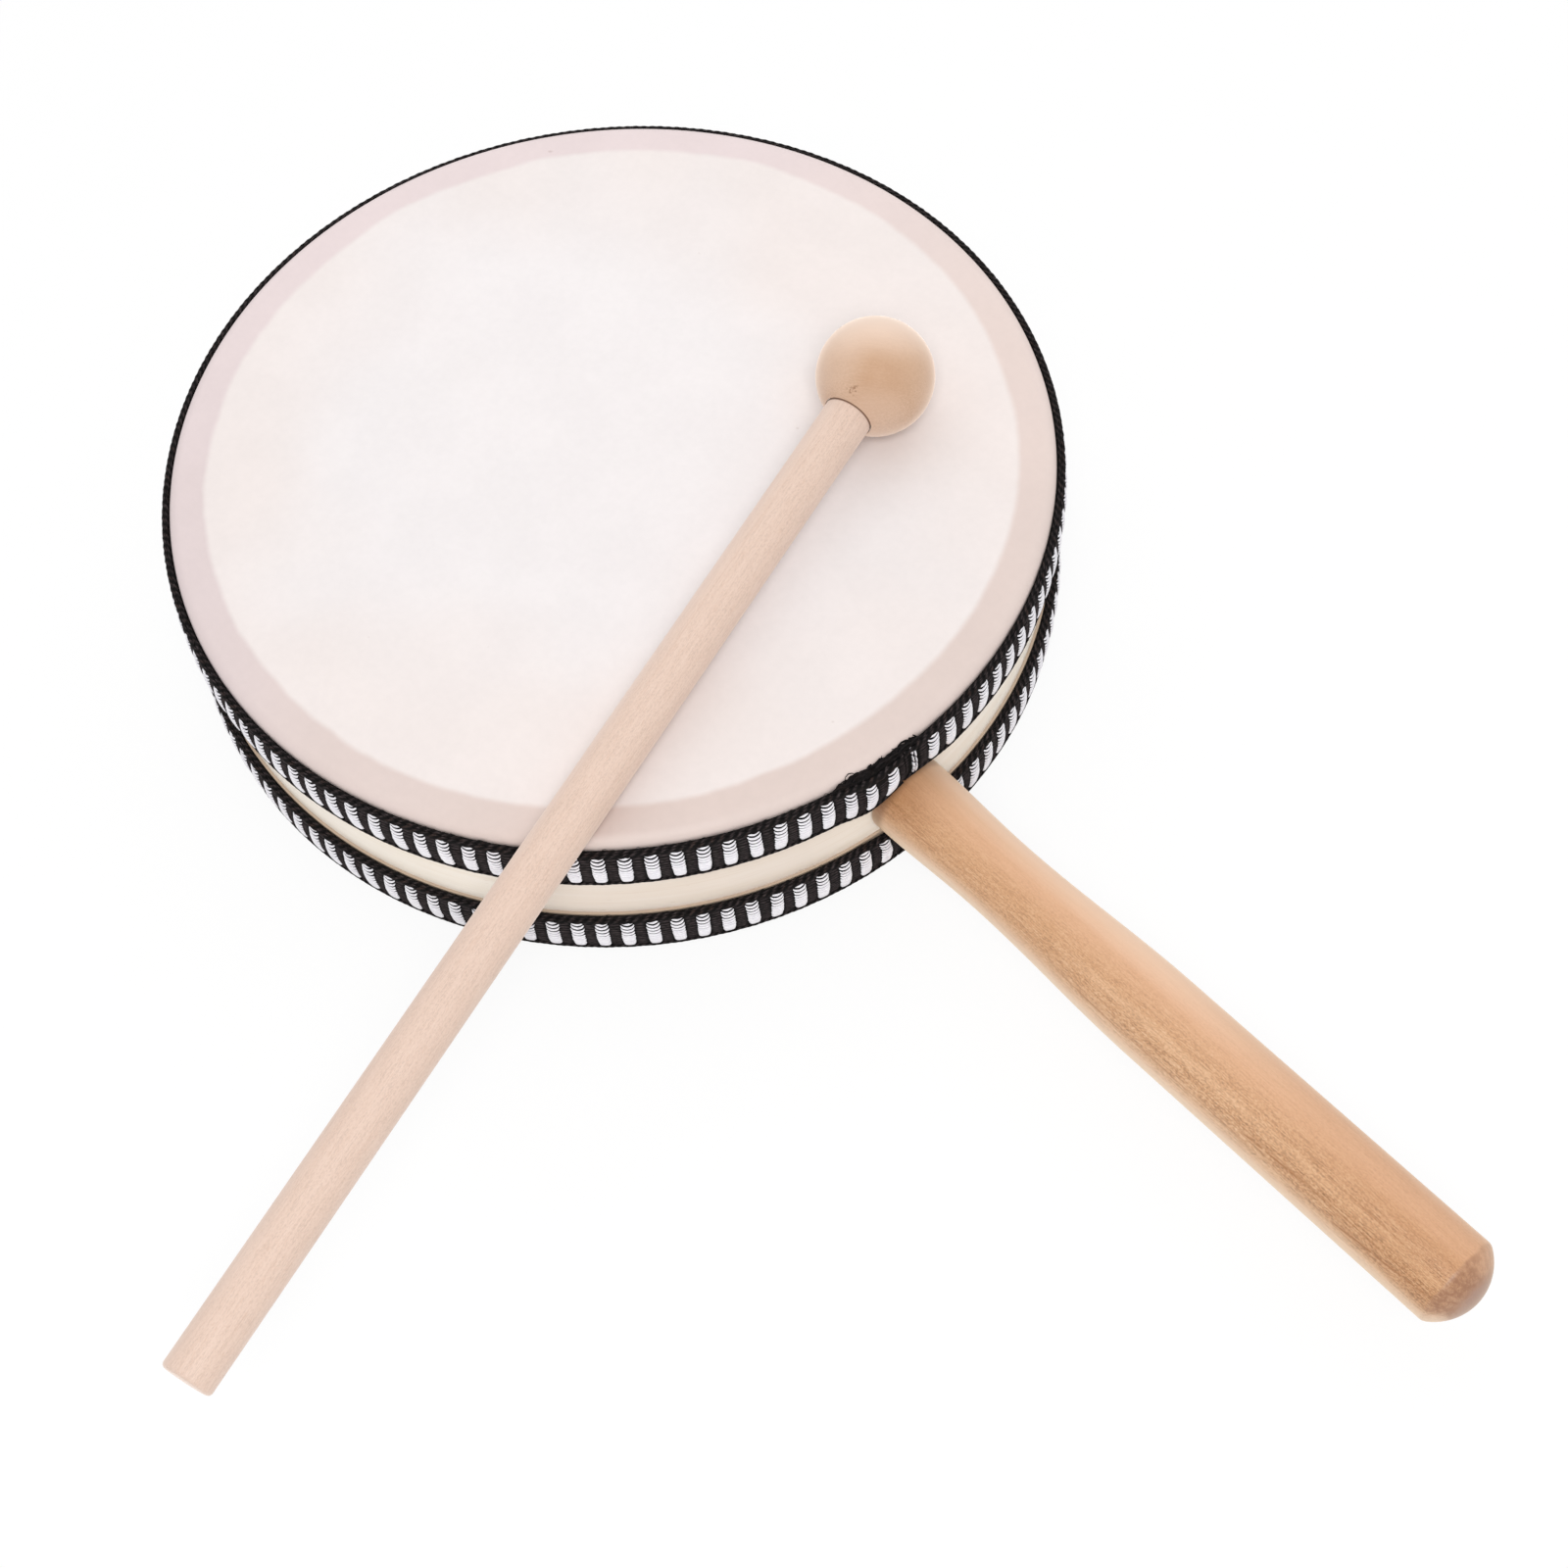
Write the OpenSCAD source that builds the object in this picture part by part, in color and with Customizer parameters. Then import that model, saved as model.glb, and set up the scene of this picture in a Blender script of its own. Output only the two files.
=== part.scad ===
// Two-headed wooden hand drum with a turned handle, and its mallet laid across the upper head.
// Origin on the drum's axis at the underside, +Z up, the handle along +X.

/* [Drum] */
// Outside diameter over the skins
drum_d = 200; // [150:1:300]
// Height from one playing face to the other
drum_h = 46.5; // [42:0.5:80]
// Wall of the bent wooden hoop
hoop_wall = 8; // [7:0.5:12]
// Rounding of the hoop's outer edges, where the skins bend
bearing_r = 2; // [1:0.25:3]
// Thickness of the skins
skin_t = 0.6; // [0.4:0.1:1]

/* [Staples] */
// Staples that hold one skin
staple_count = 20; // [8:1:30]
// Width of a staple's crown
staple_w = 10; // [6:0.5:12]
// Length of a staple's legs
staple_leg = 6; // [4:0.5:6]
// Thickness of the staple wire
staple_wire = 0.6; // [0.4:0.1:0.8]

/* [Trim] */
// Width of the woven tape
tape_w = 13; // [9:0.5:16]
// Thickness of the tape at its crown
tape_t = 2.3; // [1.8:0.1:3]
// How far the tape thins towards its two edges
tape_crown = 1.1; // [0.3:0.1:1.2]
// Distance from a playing face to the tape's nearer edge
tape_inset = 2; // [2:0.1:4]
// White yarn blocks along one tape
block_count = 116; // [60:1:140]
// Share of the pitch that a white block takes
block_share = 0.54; // [0.3:0.02:0.7]
// Height of the white yarn over the tape
yarn_t = 0.45; // [0.2:0.05:0.6]
// Where the upper tape's ends meet, in degrees from the handle
upper_seam = -2.2; // [-20:0.1:20]
// Where the lower tape's ends meet, in degrees from the handle
lower_seam = -3.5; // [-20:0.1:20]

/* [Handle] */
// Length of the handle outside the hoop
handle_len = 158.5; // [120:0.5:220]
// Diameter where the handle meets the hoop
shoulder_d = 18.9; // [16:0.1:24]
// Diameter of the neck
neck_d = 17.2; // [14:0.1:22]
// Diameter of the straight grip
grip_d = 20.1; // [18:0.1:28]
// Distance from the hoop to the neck
neck_at = 30; // [20:1:40]
// Distance from the hoop to the start of the straight grip
grip_at = 75; // [50:1:90]
// Height of the domed end
dome_h = 5.5; // [3:0.25:8]
// How far off the +X line the handle's axis meets the hoop
handle_shift = -2.15; // [-3:0.05:3]
// Angle at which the handle is set to the +X line
handle_skew = 1.5; // [-2:0.1:2]
// Diameter of the spigot in the hoop
spigot_d = 10; // [8:0.5:12]

/* [Screw] */
// Diameter of the wood screw's shank
screw_d = 4; // [3:0.25:5]
// Length of the screw under its head
screw_len = 32; // [20:1:40]
// Outside diameter of the washer
washer_d = 12; // [10:0.5:14]

/* [Mallet] */
// Overall length of the mallet
mallet_len = 270; // [180:1:300]
// Diameter of the ball
ball_d = 26.5; // [20:0.5:34]
// Diameter of the stick
stick_d = 11; // [8:0.25:14]
// Depth of the stick in the ball
stick_depth = 18; // [10:0.5:20]
// Distance of the resting ball from the drum's axis
ball_at = 60.5; // [20:0.5:80]
// Bearing of the resting ball, in degrees from the handle
ball_bearing = 57; // [0:1:180]
// Heading of the stick from the ball, in degrees from the handle
stick_heading = -72.5; // [-90:0.5:-60]

/* [Hidden] */
$fn = 96;

wood = "BurlyWood";
pale_wood = "NavajoWhite";
hide = "SeaShell";
steel = "Silver";

glue_gap = 0.05;        // radial room of a glued or screwed fit
rest_gap = 0.3;         // room between the drum and the mallet that lies on it
arc_steps = 6;
ease_steps = 10;

skin_r = drum_d / 2;
hoop_r = skin_r - skin_t;
hoop_bore_r = hoop_r - hoop_wall;
bend_r = bearing_r + skin_t;            // outside of the skin's bend
mid_z = drum_h / 2;
skirt_short = 1.5;                      // the skin stops this far inside the tape's far edge
skirt_end = tape_inset + tape_w - skirt_short;
tape_gap = 0.3;                         // between the tape's two ends
tape_glue = 0.15;                       // glue line between the skin and the tape
block_pitch = 360 / block_count;
yarn_stops = [0.08, 0.2, 0.4, 0.6, 0.8, 0.92];      // bends of the tape's face under a white block
tape_stops = concat([0], yarn_stops, [1]);          // and over its whole width
yarn_fill = [0.3, 0.9, 1, 1, 0.9, 0.3];             // the block is thinner at its two ends
notch_room = 0.2;
notch_r = shoulder_d / 2 + notch_room;
first_block = 0.42;                     // of a pitch, from the tape's end to its first block

spot_face = 0.2;                        // depth of the washer's flat seat in the round wall
spot_face_x = hoop_bore_r + spot_face;
washer_t = 1;
washer_room = 0.2;
head_x = spot_face_x - washer_t;        // underside of the screw's head
screw_head_r = 3.6;
screw_head_h = 2.4;
screw_tip = 5;
screw_point_r = 0.4;
recess_w = 0.9;                         // one blade of the cross recess
spigot_short = 0.4;                     // the spigot stops this far under the washer
spigot_x = spot_face_x + spigot_short;
saddle_stock = 1.2;                     // length of wood that the saddle is cut from
shoulder_round = 0.8;
dome_edge = 1.6;

ball_r = ball_d / 2;
stick_r = stick_d / 2;
stick_end_round = 1;
ball_xy = ball_at * [cos(ball_bearing), sin(ball_bearing)];
ball_z = drum_h + rest_gap + ball_r;
stick_xy = [cos(stick_heading), sin(stick_heading)];
along = ball_xy * stick_xy;
rim_r = skin_r - bend_r;
rim_reach = -along + sqrt(along * along - ball_xy * ball_xy + rim_r * rim_r);
stick_droop = atan((ball_r - stick_r) / rim_reach);

// points of an arc about c, from angle a0 to a1
function arc(c, r, a0, a1) =
    [for (i = [0 : arc_steps]) let (a = a0 + (a1 - a0) * i / arc_steps) c + r * [cos(a), sin(a)]];

// smooth step from 0 to 1
function ease(t) = (1 - cos(180 * t)) / 2;

// radius of the tape's face at a share t of its width
function tape_face(t) = skin_r + tape_t - tape_crown * pow(2 * t - 1, 2);

// height of a share t of the upper tape's width
function tape_z(t) = drum_h - tape_inset - tape_w * t;

module flip_down() {
    translate([0, 0, drum_h]) mirror([0, 0, 1]) children();
}

module handle_axis(x) {
    translate([hoop_r, handle_shift, mid_z]) rotate([0, 90, handle_skew])
        translate([0, 0, x - hoop_r]) children();
}

module shell_hoop() {
    inner = bearing_r / 2;
    top = drum_h - skin_t;
    color(pale_wood) difference() {
        rotate_extrude() polygon(concat(
            arc([hoop_bore_r + inner, skin_t + inner], inner, 180, 270),
            arc([hoop_r - bearing_r, skin_t + bearing_r], bearing_r, 270, 360),
            arc([hoop_r - bearing_r, top - bearing_r], bearing_r, 0, 90),
            arc([hoop_bore_r + inner, top - inner], inner, 90, 180)));
        handle_axis(0) cylinder(r = spigot_d / 2 + glue_gap, h = skin_r);
        handle_axis(0) cylinder(r = washer_d / 2 + washer_room, h = spot_face_x);
    }
}

module skin() {
    bend = [hoop_r - bearing_r, drum_h - bend_r];
    rotate_extrude() polygon(concat(
        [[0, drum_h - skin_t], [0, drum_h]],
        arc(bend, bend_r, 90, 0),
        [[skin_r, drum_h - skirt_end], [hoop_r, drum_h - skirt_end]],
        arc(bend, bearing_r, 0, 90)));
}

module upper_head() {
    color(hide) skin();
}

module lower_head() {
    color(hide) flip_down() skin();
}

module staple() {
    sunk = pow(staple_w / 2, 2) / (2 * skin_r);     // a straight crown sits inside the round wall
    translate([skin_r - sunk - glue_gap - staple_wire, 0, 0]) {
        translate([0, -staple_w / 2, 0]) cube([staple_wire, staple_w, staple_wire]);
        for (side = [0, 1])
            translate([-staple_leg, side * (staple_w - staple_wire) - staple_w / 2, 0])
                cube([staple_leg, staple_wire, staple_wire]);
    }
}

module staple_row() {
    for (i = [0 : staple_count - 1])
        rotate([0, 0, (i + 0.5) * 360 / staple_count])
            translate([0, 0, tape_z(0.5)]) staple();
}

module upper_head_staples() {
    color(steel) staple_row();
}

module lower_head_staples() {
    color(steel) flip_down() staple_row();
}

// notched for the handle's shoulder, which is wider than the bare wood between the tapes
module clear_of_handle() {
    difference() {
        children();
        handle_axis(hoop_r) cylinder(r = notch_r, h = 4 * tape_t);
    }
}

module tape(seam) {
    difference() {
        rotate_extrude() polygon(concat(
            [for (t = tape_stops) [tape_face(t), tape_z(t)]],
            [[skin_r + tape_glue, tape_z(1)], [skin_r + tape_glue, tape_z(0)]]));
        rotate([0, 0, seam]) translate([hoop_r, -tape_gap / 2, 0]) cube([4 * tape_t, tape_gap, drum_h]);
    }
}

module yarn_block() {
    last = len(yarn_stops) - 1;
    width = block_pitch * block_share;
    rotate([0, 0, -width / 2]) rotate_extrude(angle = width) polygon(concat(
        [for (i = [0 : last]) [tape_face(yarn_stops[i]), tape_z(yarn_stops[i])]],
        [for (i = [last : -1 : 0])
            [tape_face(yarn_stops[i]) + yarn_t * yarn_fill[i], tape_z(yarn_stops[i])]]));
}

module yarn_row(seam) {
    for (i = [0 : block_count - 1])
        rotate([0, 0, seam + (i + first_block) * block_pitch]) yarn_block();
}

module upper_trim_tape() {
    color("Black") clear_of_handle() tape(upper_seam);
}

module upper_trim_yarn() {
    color("White") clear_of_handle() yarn_row(upper_seam);
}

// both tapes run with their black selvedge upwards
module lower_tape_place() {
    translate([0, 0, 2 * tape_inset + tape_w - drum_h]) children();
}

module lower_trim_tape() {
    color("Black") clear_of_handle() lower_tape_place() tape(lower_seam);
}

module lower_trim_yarn() {
    color("White") clear_of_handle() lower_tape_place() yarn_row(lower_seam);
}

// shank and point of the wood screw, or its pilot hole with some room
module screw_shank(room) {
    r = screw_d / 2 + room;
    straight = screw_len - screw_tip;
    cylinder(r = r, h = straight);
    translate([0, 0, straight]) cylinder(r1 = r, r2 = screw_point_r + room, h = screw_tip + room);
}

module handle() {
    shoulder_r = shoulder_d / 2;
    neck_r = neck_d / 2;
    grip_r = grip_d / 2;
    cap_r = (pow(grip_r, 2) + pow(dome_h, 2)) / (2 * dome_h);
    cap_z = handle_len - cap_r;
    edge_a = asin((grip_r - dome_edge) / (cap_r - dome_edge));
    edge = [grip_r - dome_edge, cap_z + (cap_r - dome_edge) * cos(edge_a)];
    turned = concat(
        [[0, -saddle_stock], [shoulder_r - shoulder_round, -saddle_stock]],
        arc([shoulder_r - shoulder_round, shoulder_round], shoulder_round, -90, 0),
        [for (i = [1 : ease_steps]) let (t = i / ease_steps)
            [shoulder_r + (neck_r - shoulder_r) * ease(t), shoulder_round + (neck_at - shoulder_round) * t]],
        [for (i = [1 : ease_steps]) let (t = i / ease_steps)
            [neck_r + (grip_r - neck_r) * ease(t), neck_at + (grip_at - neck_at) * t]],
        arc(edge, dome_edge, 0, 90 - edge_a),
        arc([0, cap_z], cap_r, 90 - edge_a, 90));
    color(wood) difference() {
        union() {
            difference() {
                handle_axis(hoop_r) rotate_extrude() polygon(turned);
                cylinder(r = hoop_r, h = drum_h);
            }
            handle_axis(spigot_x) cylinder(d = spigot_d, h = hoop_r + saddle_stock - spigot_x);
        }
        handle_axis(head_x) screw_shank(glue_gap);
    }
}

module handle_screw() {
    color(steel) difference() {
        handle_axis(head_x) {
            screw_shank(0);
            mirror([0, 0, 1]) cylinder(r1 = screw_head_r, r2 = screw_head_r * 0.7, h = screw_head_h);
        }
        for (turn = [0, 90])
            handle_axis(head_x - screw_head_h) rotate([0, 0, turn])
                translate([-screw_head_r / 2, -recess_w / 2, -recess_w])
                    cube([screw_head_r, recess_w, 2 * recess_w]);
    }
}

module handle_washer() {
    color(steel) handle_axis(head_x) difference() {
        cylinder(d = washer_d, h = washer_t);
        translate([0, 0, -washer_t]) cylinder(r = screw_d / 2 + washer_room, h = 3 * washer_t);
    }
}

// the mallet's own axis: origin at the ball's centre, +Z along the stick
module mallet_axis() {
    translate([ball_xy.x, ball_xy.y, ball_z]) rotate([0, 90 + stick_droop, stick_heading]) children();
}

module mallet_stick() {
    tip = mallet_len - ball_r;
    seat = ball_r - stick_depth;
    color(pale_wood) mallet_axis() rotate_extrude() polygon(concat(
        [[0, seat], [stick_r, seat]],
        arc([stick_r - stick_end_round, tip - stick_end_round], stick_end_round, 0, 90),
        [[0, tip]]));
}

module mallet_ball() {
    color(wood) mallet_axis() difference() {
        sphere(r = ball_r);
        translate([0, 0, ball_r - stick_depth]) cylinder(r = stick_r + glue_gap, h = ball_d);
    }
}

shell_hoop();
upper_head();
lower_head();
upper_head_staples();
lower_head_staples();
upper_trim_tape();
lower_trim_tape();
upper_trim_yarn();
lower_trim_yarn();
handle();
handle_screw();
handle_washer();
mallet_stick();
mallet_ball();
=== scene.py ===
from math import asin, atan, cos, degrees, pi, radians, sin, sqrt

import bmesh
import bpy
from mathutils import Matrix, Vector


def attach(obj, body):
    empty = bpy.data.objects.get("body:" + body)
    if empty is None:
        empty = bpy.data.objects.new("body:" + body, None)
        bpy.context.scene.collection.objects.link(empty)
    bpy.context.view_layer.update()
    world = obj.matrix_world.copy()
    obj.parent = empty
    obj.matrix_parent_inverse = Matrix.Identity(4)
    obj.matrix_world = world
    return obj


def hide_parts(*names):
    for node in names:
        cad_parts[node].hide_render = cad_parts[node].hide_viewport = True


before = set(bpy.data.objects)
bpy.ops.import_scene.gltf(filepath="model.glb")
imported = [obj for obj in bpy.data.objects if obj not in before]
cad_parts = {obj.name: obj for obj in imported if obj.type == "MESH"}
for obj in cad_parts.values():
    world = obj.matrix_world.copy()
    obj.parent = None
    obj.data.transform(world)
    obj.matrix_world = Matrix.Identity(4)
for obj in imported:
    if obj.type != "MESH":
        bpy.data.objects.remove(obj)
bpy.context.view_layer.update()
print("frame loaded,", len(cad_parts), "solids")

mm = 0.001
scene = bpy.context.scene
scene.view_settings.view_transform = "Standard"


def tone(red, green, blue):  # an sRGB colour, 0 to 255, as Blender's linear colour
    def linear(c):
        c /= 255
        return c / 12.92 if c <= 0.04045 else ((c + 0.055) / 1.055) ** 2.4
    return (linear(red), linear(green), linear(blue), 1)


# small helpers for node trees

class Field:  # a node's number socket that takes plain arithmetic
    def __init__(self, tree, socket):
        self.tree = tree
        self.socket = socket

    def to(self, operation, *others):
        return calc(self.tree, operation, self, *others)

    def __add__(self, other):
        return self.to("ADD", other)

    def __sub__(self, other):
        return self.to("SUBTRACT", other)

    def __rsub__(self, other):
        return calc(self.tree, "SUBTRACT", other, self)

    def __mul__(self, other):
        return self.to("MULTIPLY", other)

    def __truediv__(self, other):
        return self.to("DIVIDE", other)

    def __pow__(self, other):
        return self.to("POWER", other)

    def __abs__(self):
        return self.to("ABSOLUTE")

    __radd__ = __add__
    __rmul__ = __mul__


def plug(tree, socket, value):  # a socket is linked, a plain value is set
    if isinstance(value, Field):
        value = value.socket
    if isinstance(value, bpy.types.NodeSocket):
        tree.links.new(value, socket)
    else:
        socket.default_value = value


def addNode(tree, kind, inputs=None, **settings):
    made = tree.nodes.new(kind)
    for key, value in settings.items():
        setattr(made, key, value)
    for key, value in (inputs or {}).items():
        plug(tree, made.inputs[key], value)
    return made


def geoNode(tree, kind, inputs=None):  # a geometry node's first output
    return addNode(tree, "GeometryNode" + kind, inputs).outputs[0]


def calc(tree, operation, *values):
    made = addNode(tree, "ShaderNodeMath", dict(enumerate(values)), operation=operation)
    return Field(tree, made.outputs[0])


def calcVector(tree, operation, first, second):
    return addNode(tree, "ShaderNodeVectorMath", {0: first, 1: second}, operation=operation).outputs


def joinXyz(tree, x, y, z):
    return addNode(tree, "ShaderNodeCombineXYZ", {0: x, 1: y, 2: z}).outputs[0]


def splitXyz(tree, vector):
    return [Field(tree, out) for out in addNode(tree, "ShaderNodeSeparateXYZ", {0: vector}).outputs]


def fade(tree, value, low, high, lowOut=0.0, highOut=1.0):  # smooth step between two limits
    inputs = {0: value, 1: low, 2: high, 3: lowOut, 4: highOut}
    made = addNode(tree, "ShaderNodeMapRange", inputs, interpolation_type="SMOOTHSTEP")
    return Field(tree, made.outputs[0])


def span(tree, value, low, high, lowOut=0.0, highOut=1.0):  # the same, with limits in mm
    return fade(tree, value, low * mm, high * mm, lowOut, highOut)


def blend(tree, share, first, second, how="MIX"):
    inputs = {0: share, 6: first, 7: second}
    return addNode(tree, "ShaderNodeMix", inputs, data_type="RGBA", blend_type=how).outputs[2]


def dim(tree, colour, share):  # darkens a colour by a field
    return blend(tree, 1.0, colour, joinXyz(tree, share, share, share), "MULTIPLY")


def cloud(tree, vector, detail=2.0, roughness=0.5, scale=1.0):  # scale in cycles per metre
    if isinstance(scale, tuple):  # one for each axis
        vector = calcVector(tree, "MULTIPLY", vector, scale)[0]
        scale = 1.0
    inputs = {"Vector": vector, "Scale": scale, "Detail": detail, "Roughness": roughness}
    return Field(tree, addNode(tree, "ShaderNodeTexNoise", inputs).outputs[0])


def apart(tree, vector, point):  # distance to a point given in mm
    return Field(tree, calcVector(tree, "DISTANCE", vector, Vector(point) * mm)["Value"])


def relief(tree, shader, height, strength, depth):  # depth in mm
    made = addNode(tree, "ShaderNodeBump", {"Strength": strength, "Distance": depth * mm, "Height": height})
    plug(tree, shader.inputs["Normal"], made.outputs[0])


def paint(tree, shader, colour):
    plug(tree, shader.inputs["Base Color"], colour)


def startMaterial(name, look):
    made = bpy.data.materials.new(name)
    made.use_nodes = True
    shader = made.node_tree.nodes["Principled BSDF"]
    shader.inputs["Roughness"].default_value = look["roughness"]
    shader.inputs["Specular IOR Level"].default_value = look["specular"]
    return made, made.node_tree, shader


def objectSpace(tree, place=None):  # Object coordinates, or those of a piece's own axis
    coords = addNode(tree, "ShaderNodeTexCoord").outputs["Object"]
    if place is None:
        return coords
    turned = addNode(tree, "ShaderNodeMapping", {0: coords}, vector_type="TEXTURE")
    turned.inputs["Location"].default_value = place.to_translation()
    turned.inputs["Rotation"].default_value = place.to_euler()
    return turned.outputs[0]


# small helpers for meshes and pieces

def meshObject(name, points, faces, material, sharp=40, weld=1e-7):  # sharp in degrees, weld in metres
    mesh = bpy.data.meshes.new(name)
    mesh.from_pydata(points, [], faces)
    work = bmesh.new()
    work.from_mesh(mesh)
    bmesh.ops.remove_doubles(work, verts=work.verts, dist=weld)
    bmesh.ops.recalc_face_normals(work, faces=work.faces)
    work.to_mesh(mesh)
    work.free()
    mesh.shade_smooth()
    mesh.set_sharp_from_angle(angle=radians(sharp))
    mesh.materials.append(material)
    made = bpy.data.objects.new(name, mesh)
    scene.collection.objects.link(made)
    return made


def turn(name, profile, steps, material, place=Matrix(), closed=False, shape=None):
    # spins (radius, height) in mm about the local z axis; shape moves a finished point
    points = []
    faces = []
    rings = []
    for radius, height in profile:
        count = steps if radius else 1  # one point on the axis
        rings.append([len(points) + k for k in range(count)])
        for k in range(count):
            a = 2 * pi * k / steps
            point = place @ (Vector((radius * cos(a), radius * sin(a), height)) * mm)
            points.append(shape(point) if shape else point)
    following = rings[1:] + rings[:1] if closed else rings[1:]
    for low, high in zip(rings, following):
        for k in range(steps):
            n = k + 1
            corner = [low[k % len(low)], low[n % len(low)], high[n % len(high)], high[k % len(high)]]
            kept = [c for i, c in enumerate(corner) if c not in corner[:i]]
            if len(kept) > 2:
                faces.append(kept)
    return meshObject(name, points, faces, material)


def bow(cx, cy, radius, start, end, steps):  # points of an arc, in degrees
    angles = [radians(start + (end - start) * i / steps) for i in range(steps + 1)]
    return [(cx + radius * cos(a), cy + radius * sin(a)) for a in angles]


def settle(piece, body, slotName, *nodes):
    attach(piece, body)
    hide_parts(*nodes)


def dress(material, *names):  # solids that show as they are get their material
    for name in names:
        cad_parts[name].data.materials.clear()
        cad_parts[name].data.materials.append(material)


# camera, at the photograph's viewing angle
cameraView = dict(
    location=(0.30414, -0.18815, 0.50804),
    angles=(29.914, 2.601, 48.600),  # degrees
    lens=59.02, sensor=36,  # mm
)
cameraData = bpy.data.cameras.new("camera")
cameraData.lens = cameraView["lens"]
cameraData.sensor_width = cameraView["sensor"]
camera = bpy.data.objects.new("camera", cameraData)
camera.location = cameraView["location"]
camera.rotation_euler = [radians(a) for a in cameraView["angles"]]
scene.collection.objects.link(camera)
scene.camera = camera
print("camera set")


# the drum's own sizes in mm, as in the part's source
drum = dict(radius=100, height=46.5, skin=0.6, bearing=2, midHeight=23.25)
hoopRadius = drum["radius"] - drum["skin"]
drumRound = 2 * pi * drum["radius"]
midHeight = drum["midHeight"] * mm


# skins
skinSize = dict(
    upperEdge=13.5, lowerEdge=14.7,  # mm, from the playing face to the skin's end
    outerRings=(0, 25, 50, 70, 82, *range(86, 97)), innerRings=(90, 70, 40, 0),
    outerBend=8, innerBend=6, steps=288,
)
skinLook = dict(
    centre=tone(238, 233, 233), centreWarm=tone(237, 228, 225), fleck=tone(150, 120, 105),
    onHoop=tone(227, 212, 212), onHoopWarm=tone(225, 208, 201),
    ring=(90.5, 92.3), wander=3.2,  # mm, where the skin starts to lie on the hoop
    blotch=140, warm=(35, 95),  # mm from the axis
    hoopWarm=(-70, 90),  # mm towards the handle
    wornSide=(0.64, -0.77), worn=(-50, 40), wornOpen=0.026, wornOnHoop=0.06, hoopLift=0.02,
    thinEdgeShade=tone(190, 170, 150),  # pared thin so it takes the wood's tone, darkened as painted shade under the tape
    thin=(12.5, 10.5),  # mm from the drum's middle height
    wanderScale=38, blotchScale=13, patchScale=60, fibreScale=520, fleckScale=240,
    patchDim=0.975, fibreDim=0.98, fleckShare=0.35, relief=(0.06, 0.2),
    roughness=0.55, specular=0.3,
)


def skinMaterial():
    look = skinLook
    made, tree, shader = startMaterial("drumSkin", look)
    coords = objectSpace(tree)
    x, y, z = splitXyz(tree, coords)
    reach = (x * x + y * y) ** 0.5
    wandered = reach + (cloud(tree, coords, 3.0, 0.55, look["wanderScale"]) - 0.5) * (look["wander"] * mm)
    lying = span(tree, wandered, *look["ring"])
    blotch = (cloud(tree, coords, 2.0, 0.5, look["blotchScale"]) - 0.5) * (look["blotch"] * mm)
    warm = span(tree, reach + blotch, *look["warm"])
    overAir = blend(tree, warm, look["centre"], look["centreWarm"])
    hoopWarm = span(tree, x + blotch, *look["hoopWarm"])
    onHoop = blend(tree, hoopWarm, look["onHoop"], look["onHoopWarm"])
    colour = blend(tree, lying, overAir, onHoop)
    toWorn = x * look["wornSide"][0] + y * look["wornSide"][1]
    worn = span(tree, toWorn, *look["worn"])  # greyer by the handle's side
    greyed = worn * (lying * look["wornOnHoop"] + look["wornOpen"])
    colour = dim(tree, colour, 1.0 - greyed + lying * look["hoopLift"])
    patches = cloud(tree, coords, 3.0, 0.6, look["patchScale"])
    colour = dim(tree, colour, fade(tree, patches, 0.35, 0.68, look["patchDim"], 1.0))
    fibres = cloud(tree, coords, 4.0, 0.65, look["fibreScale"])
    colour = dim(tree, colour, fade(tree, fibres, 0.3, 0.7, look["fibreDim"], 1.0))
    fromMiddle = abs(z - midHeight)
    thin = span(tree, fromMiddle, *look["thin"])
    # painted shade: the skin's end by the tape takes a darker wood tone
    colour = blend(tree, thin, colour, look["thinEdgeShade"])
    flecks = cloud(tree, coords, 1.0, 0.4, look["fleckScale"])
    flecks = fade(tree, flecks, 0.80, 0.84, 0.0, look["fleckShare"])
    colour = blend(tree, flecks, colour, look["fleck"])
    paint(tree, shader, colour)
    relief(tree, shader, fibres, *look["relief"])
    return made


def skinPiece(name, upper, material):
    size = skinSize
    h, t, b = drum["height"], drum["skin"], drum["bearing"]
    edge = h - size["upperEdge" if upper else "lowerEdge"]
    outer = [(r, h) for r in size["outerRings"]]
    outer += bow(hoopRadius - b, h - b - t, b + t, 90, 0, size["outerBend"]) + [(drum["radius"], edge)]
    inner = [(hoopRadius, edge)] + bow(hoopRadius - b, h - b - t, b, 0, 90, size["innerBend"])
    inner += [(r, h - t) for r in size["innerRings"]]
    profile = outer + inner
    if not upper:
        profile = [(r, h - z) for r, z in profile]
    return turn(name, profile, size["steps"], material)


skinFinish = skinMaterial()
settle(skinPiece("upperHead", True, skinFinish), "drum", "skin", "upper_head")
settle(skinPiece("lowerHead", False, skinFinish), "drum", "skin", "lower_head")
print("skins made")


# bent hoop, whose bare stripe shows between the trims
hoopLook = dict(
    pale=tone(250, 242, 231), warm=tone(246, 236, 222), line=tone(240, 226, 209), fleck=tone(190, 156, 126),
    figureScale=(22, 22, 260), lineScale=(40, 40, 1900), fleckScale=(260, 260, 2200),
    lineShare=0.6, fleckShare=0.4, relief=(0.15, 0.15),
    tan=(0.87, 0.835, 0.825, 1), tanAt=-32,  # a browner stretch, degrees round the drum
    tanSpan=(0.89, 0.975),  # cosine of the angle to its middle
    roughness=0.6, specular=0.25,
)


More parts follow.
